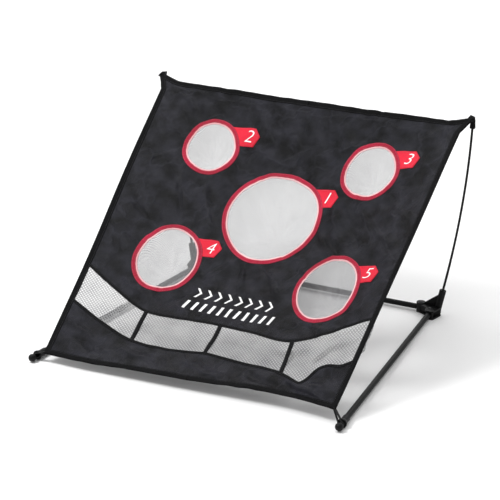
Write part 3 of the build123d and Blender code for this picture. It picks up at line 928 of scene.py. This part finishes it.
def tab(number, tip_u, tip_v, u, v, w, h):
    """The numbered red tab: a double layer sewn down beside its ring, with the number printed on it."""
    outline = np.array([(tip_u + du, tip_v + dv) for du, dv in TAB_OUTLINE])
    edge = np.concatenate([np.linspace(p, q, 14)[:-1] for p, q in zip(outline, np.roll(outline, -1, 0))])
    lows, highs = edge.min(0), edge.max(0)
    us, vs = np.meshgrid(np.arange(lows[0], highs[0], 0.0045), np.arange(lows[1], highs[1], 0.0045))
    inner = np.stack([us.ravel(), vs.ravel()], 1)

    def within(p, inset):
        keep = np.ones(len(p), bool)
        for a, b in zip(outline, np.roll(outline, -1, 0)):
            run = (b - a) / np.linalg.norm(b - a)
            keep &= (p[:, 0] - a[0]) * run[1] - (p[:, 1] - a[1]) * run[0] > inset
        return keep

    inner = inner[within(inner, 0.002)]
    points = [Vector(p) for p in np.concatenate([edge, inner])]
    border = [(k, (k + 1) % len(edge)) for k in range(len(edge))]
    made = delaunay_2d_cdt(points, border, [], 1, 1e-5)
    flat = np.array([(p[0], p[1]) for p in made[0]])
    middles = np.array([flat[list(f)].mean(0) for f in made[2]])
    outside_ring = np.hypot((middles[:, 0] - u) / (w - 0.006), (middles[:, 1] - v) / (h - 0.006)) > 1
    clear = [f for f, kept in zip(made[2], outside_ring) if kept]
    reach = np.hypot((flat[:, 0] - u) / w, (flat[:, 1] - v) / h)
    lift = 0.0011 + 0.0012 * smooth_step((reach - 1.0) / 0.25)
    build = Build()
    build.add(on_cloth(flat[:, 0], flat[:, 1], lift), clear)
    build.add(on_cloth(flat[:, 0], flat[:, 1], lift - 0.0011), [tuple(reversed(f)) for f in clear])
    directed = {(f[k], f[(k + 1) % len(f)]) for f in clear for k in range(len(f))}
    rim = sorted((p, q) for p, q in directed if (q, p) not in directed)
    build.bridge([(q, p, p + len(flat), q + len(flat)) for p, q in rim])
    centre = outline.mean(0)
    inset = centre + (edge - centre) * 0.86
    outside = np.hypot((inset[:, 0] - u) / w, (inset[:, 1] - v) / h) > 1.04
    order = np.argmax(outside & ~np.roll(outside, 1))
    sew(build, np.roll(inset, -order, 0)[: int(outside.sum())], 0.0, 0.0026, 1)
    piece = build.make(f"tab_{number}", [tab_red, thread_red], TARGET_ZONES[number])
    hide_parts(f"number_tab_{number}")
    return piece


def refined(flat, faces, longest=0.004):
    """The same flat shape in triangles small enough to follow the cloth."""
    work = bmesh.new()
    corners = [work.verts.new((x, y, 0)) for x, y in flat]
    for face in faces:
        work.faces.new([corners[k] for k in face])
    bmesh.ops.triangulate(work, faces=work.faces)
    for _ in range(5):
        long = [edge for edge in work.edges if edge.calc_length() > longest]
        if long:
            bmesh.ops.subdivide_edges(work, edges=long, cuts=1)
            bmesh.ops.triangulate(work, faces=work.faces)
    work.verts.index_update()
    fine = np.array([(p.co.x, p.co.y) for p in work.verts])
    triangles = [tuple(p.index for p in face.verts) for face in work.faces]
    work.free()
    return fine, triangles


def printed(name, flat_shapes, zone, height):
    """White print: flat shapes laid on the cloth as thin raised ink."""
    build = Build()
    for flat, faces in flat_shapes:
        fine, triangles = refined(flat, faces)
        build.add(on_cloth(fine[:, 0], fine[:, 1], height), triangles)
    return build.make(name, [print_white], zone, outward=False)


def digit(number, u, v, size=0.053):
    """The outline of one numeral, leaning, as flat shapes centred on a place of the cloth."""
    text = bpy.data.curves.new("numeral", "FONT")
    text.body = str(number)
    text.size = size
    text.shear = 0.20
    text.offset = -0.0006
    text.resolution_u = 6
    holder = bpy.data.objects.new("numeral", text)
    bpy.context.scene.collection.objects.link(holder)
    bpy.context.view_layer.update()
    mesh = bpy.data.meshes.new_from_object(holder)
    flat = np.array([(p.co.x, p.co.y) for p in mesh.vertices])
    faces = [tuple(p.vertices) for p in mesh.polygons]
    bpy.data.objects.remove(holder)
    flat = flat - (flat.max(0) + flat.min(0)) / 2 + (u, v)
    return [(flat, faces)]


DIGIT_HEIGHT = 0.0029
for number, u, v, w, h, depth, tip in TARGETS:
    tip_u, tip_v = u + tip[0], v + tip[1]
    ring = target_ring(number, u, v, w, h)
    bag, bag_area = pocket(number, u, v, w, h, depth)
    flag = tab(number, tip_u, tip_v, u, v, w, h)
    shapes = digit(number, tip_u - 0.031, tip_v - 0.005)
    numeral = printed(f"digit_{number}", shapes, TARGET_ZONES[number], DIGIT_HEIGHT)

# ---------------------------------------------------------------- printed emblem above the windows


def slanted_bar(u, v, width, height, lean):
    corners = [(0, 0), (width, 0), (width + lean, height), (lean, height)]
    return [(u + a, v + b) for a, b in corners]


def chevron(u, v, width, height, thick):
    """Two slanted bars that meet in a point, as flat outlines."""
    shoulder, point, middle = u + width - thick, u + width, v + height / 2
    upper = [(u, v + height), (u + thick, v + height), (point, middle), (shoulder, middle)]
    lower = [(shoulder, middle), (point, middle), (u + thick, v), (u, v)]
    return [upper, lower]


emblem = []
for k in range(8):
    for outline in chevron(-0.118 + 0.0315 * k, 0.292, width=0.021, height=0.032, thick=0.0070):
        emblem.append((outline, [(0, 1, 2, 3)]))
for k in range(11):
    bar = slanted_bar(-0.134 + 0.0262 * k, 0.248, width=0.0085, height=0.029, lean=0.008)
    emblem.append((bar, [(0, 1, 2, 3)]))
EMBLEM_HEIGHT = 0.0012
emblem_piece = printed("printed_emblem", emblem, "root", EMBLEM_HEIGHT)

# ---------------------------------------------------------------- webbing loops and corner sleeves

SOCKET = np.array([0.402, 0.406, 0.004])
LEAN = np.array([0.19, 0.09, 0.977]) / np.linalg.norm([0.19, 0.09, 0.977])
SOCKET_LENGTH = 0.076
POLE_TIP = np.array([0.496, 0.383, 0.616])
LEG_PIN = np.array([0.390, 0.384, 0.013])
BALL = np.array([0.465, -0.413, 0.013])
NECK_BACK = 0.0149
LOOP_RADIUS = 0.0063
STRAP_WIDTH = 0.0090
STRAP_HALF = 0.0009
# The strap's section in shares of its width and half thickness, with its edges a little raised
STRAP_SECTION = [
    (-0.5, -1), (-0.5, 1), (-0.35, 1.25), (0.0, 1.1), (0.35, 1.25), (0.5, 1), (0.5, -1), (0.0, -1.1)
]
SLEEVE_SIDES = 28
# The corner sleeve: how far beyond the pole's tip, half width and half depth
SLEEVE = [
    (-0.0270, 0.0080, 0.0072), (-0.0265, 0.0086, 0.0078), (-0.0220, 0.0083, 0.0075), (-0.0120, 0.0076, 0.0070),
    (-0.0030, 0.0070, 0.0064), (0.0025, 0.0058, 0.0054), (0.0045, 0.0040, 0.0034), (0.0060, 0.0012, 0.0008),
]


def ribbon(build, line, across, width, half):
    """A flat strap along a line, its width lying along one direction."""
    line = np.asarray(line, float)
    run = np.gradient(line, axis=0)
    run = run / np.linalg.norm(run, axis=1, keepdims=True)
    face = np.cross(run, across)
    face = face / np.linalg.norm(face, axis=1, keepdims=True)
    rows = [line + a * width * across + b * half * face for a, b in STRAP_SECTION]
    points = np.stack(rows, 1)
    count, columns = len(line), len(STRAP_SECTION)
    faces = []
    for i in range(count - 1):
        for j in range(columns):
            a, b, k = i * columns, (i + 1) * columns, (j + 1) % columns
            faces.append((a + j, b + j, b + k, a + k))
    faces.append(tuple(range(columns - 1, -1, -1)))
    faces.append(tuple((count - 1) * columns + j for j in range(columns)))
    build.add(points, faces)


for side, name in ((-1, "left"), (1, "right")):
    flip = np.array([side, 1.0, 1.0])
    leg = (BALL - LEG_PIN) / np.linalg.norm(BALL - LEG_PIN)
    neck = (BALL - leg * NECK_BACK) * flip
    leg = leg * flip
    corner_v = low_left_v if side < 0 else low_right_v
    corner = on_cloth(side * (corner_us[side] - 0.007), corner_v + 0.007)
    reach = corner - neck
    aim = reach - (reach @ leg) * leg
    distance = np.linalg.norm(aim)
    aim = aim / distance
    other = np.cross(leg, aim)
    open_angle = math.acos(LOOP_RADIUS / distance)
    around = np.linspace(open_angle, math.tau - open_angle, 40)
    arc = [neck + LOOP_RADIUS * (math.cos(a) * aim + math.sin(a) * other) for a in around]
    tail_in = np.linspace(corner + other * 0.0012, arc[0], 10)[:-1]
    tail_out = np.linspace(arc[-1], corner - other * 0.0012, 10)[1:]
    build = Build()
    ribbon(build, [*tail_in, *arc, *tail_out], leg, STRAP_WIDTH, STRAP_HALF)
    loop = build.make(f"{name}_webbing_loop", [webbing_black], f"{name}_leg")
    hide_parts(f"{name}_strap_loop")

    collar = SOCKET + LEAN * SOCKET_LENGTH
    chord = (POLE_TIP - collar) / np.linalg.norm(POLE_TIP - collar)
    tip_dir = (2 * (LEAN @ chord) * chord - LEAN) * flip
    tip = POLE_TIP * flip
    sideways = np.cross(tip_dir, OUTWARD)
    sideways = sideways / np.linalg.norm(sideways)
    facing = np.cross(sideways, tip_dir)
    build = Build()
    angle = np.arange(SLEEVE_SIDES) * math.tau / SLEEVE_SIDES
    wide = np.cos(angle)[:, None] * sideways
    deep = np.sin(angle)[:, None] * facing
    mouth_inside = tip + tip_dir * SLEEVE[0][0] + wide * 0.0062 + deep * 0.0058
    rings = [mouth_inside + tip_dir * 0.010, mouth_inside]
    for beyond, half_width, half_depth in SLEEVE:
        crease = (1 + 0.02 * np.sin(5 * angle + 90 * beyond))[:, None]
        rings.append(tip + tip_dir * beyond + (wide * half_width + deep * half_depth) * crease)
    faces = []
    for i in range(len(rings) - 1):
        for j in range(SLEEVE_SIDES):
            a, b, k = i * SLEEVE_SIDES, (i + 1) * SLEEVE_SIDES, (j + 1) % SLEEVE_SIDES
            faces.append((a + j, a + k, b + k, b + j))
    faces.append(tuple((len(rings) - 1) * SLEEVE_SIDES + j for j in range(SLEEVE_SIDES)))
    build.add(np.concatenate(rings), faces)
    sleeve = build.make(f"{name}_corner_sleeve", [hem_black], f"{name}_pole_set")
    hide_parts(f"{name}_corner_pocket")

# ---------------------------------------------------------------- finishes of the frame's own parts

node_slots = {entry["node"]: entry["material_slot"] for entry in frame["record"]["subparts"]}
for name, node in nodes.items():
    finish = FRAME_FINISH.get(node_slots[name])
    if finish and not node.hide_render:
        for slot in node.material_slots:
            slot.material = finish

# ---------------------------------------------------------------- floor, light and camera

floor_mesh = bpy.data.meshes.new("floor")
floor_mesh.from_pydata([(-30, -30, 0), (30, -30, 0), (30, 30, 0), (-30, 30, 0)], [], [(0, 1, 2, 3)])
floor = bpy.data.objects.new("floor", floor_mesh)
bpy.context.scene.collection.objects.link(floor)
floor_nodes = Nodes("floor_white")
floor_nodes.surface(
    floor_nodes.ramp(floor_nodes.noise(2.0), [(0.3, (0.90, 0.90, 0.90)), (0.7, (0.92, 0.92, 0.92))]),
    floor_nodes.level(floor_nodes.noise(5.0), 0.75, 0.85),
)
floor_mesh.materials.append(floor_nodes.material)

world = bpy.data.worlds.new("studio")
world.use_nodes = True
world.node_tree.nodes["Background"].inputs["Color"].default_value = (1, 1, 1, 1)
world.node_tree.nodes["Background"].inputs["Strength"].default_value = 0.58
bpy.context.scene.world = world


def soft_light(name, place, aim, size, power):
    data = bpy.data.lights.new(name, "AREA")
    data.shape = "RECTANGLE"
    data.size, data.size_y = size
    data.energy = power
    light = bpy.data.objects.new(name, data)
    light.location = place
    light.rotation_mode = "QUATERNION"
    light.rotation_quaternion = (Vector(aim) - Vector(place)).to_track_quat("-Z", "Y")
    bpy.context.scene.collection.objects.link(light)


soft_light("key", (-1.7, -1.3, 3.0), (0, 0, 0.3), (1.3, 0.9), 90)
soft_light("top", (0.2, 0.4, 3.4), (0.2, 0.3, 0.0), (3.0, 3.0), 42)
soft_light("back", (1.2, 3.2, 2.4), (0, 0.1, 0.3), (2.0, 1.0), 14)
soft_light("backdrop", (-1.6, 4.6, 3.2), (-1.6, 4.7, 0.0), (4.5, 3.0), 110)

CAMERA_TARGET = Vector((0.0, -0.019, 0.25))
CAMERA_AZIMUTH = math.radians(27.225)
CAMERA_ELEVATION = math.radians(21.484)
CAMERA_DISTANCE = 5.2714
camera_data = bpy.data.cameras.new("camera")
camera_data.sensor_width = 36.0
camera_data.lens = 136.58
camera_data.shift_x = 0.00468
camera_data.shift_y = 0.01904
camera = bpy.data.objects.new("camera", camera_data)
back = Vector(
    (
        math.sin(CAMERA_AZIMUTH) * math.cos(CAMERA_ELEVATION),
        -math.cos(CAMERA_AZIMUTH) * math.cos(CAMERA_ELEVATION),
        math.sin(CAMERA_ELEVATION),
    )
)
camera.location = CAMERA_TARGET + back * CAMERA_DISTANCE
camera.rotation_mode = "QUATERNION"
camera.rotation_quaternion = (-back).to_track_quat("-Z", "Y")
bpy.context.scene.collection.objects.link(camera)
bpy.context.scene.camera = camera

# The plain view keeps the black cloth black and the reds clear
bpy.context.scene.view_settings.view_transform = "Standard"
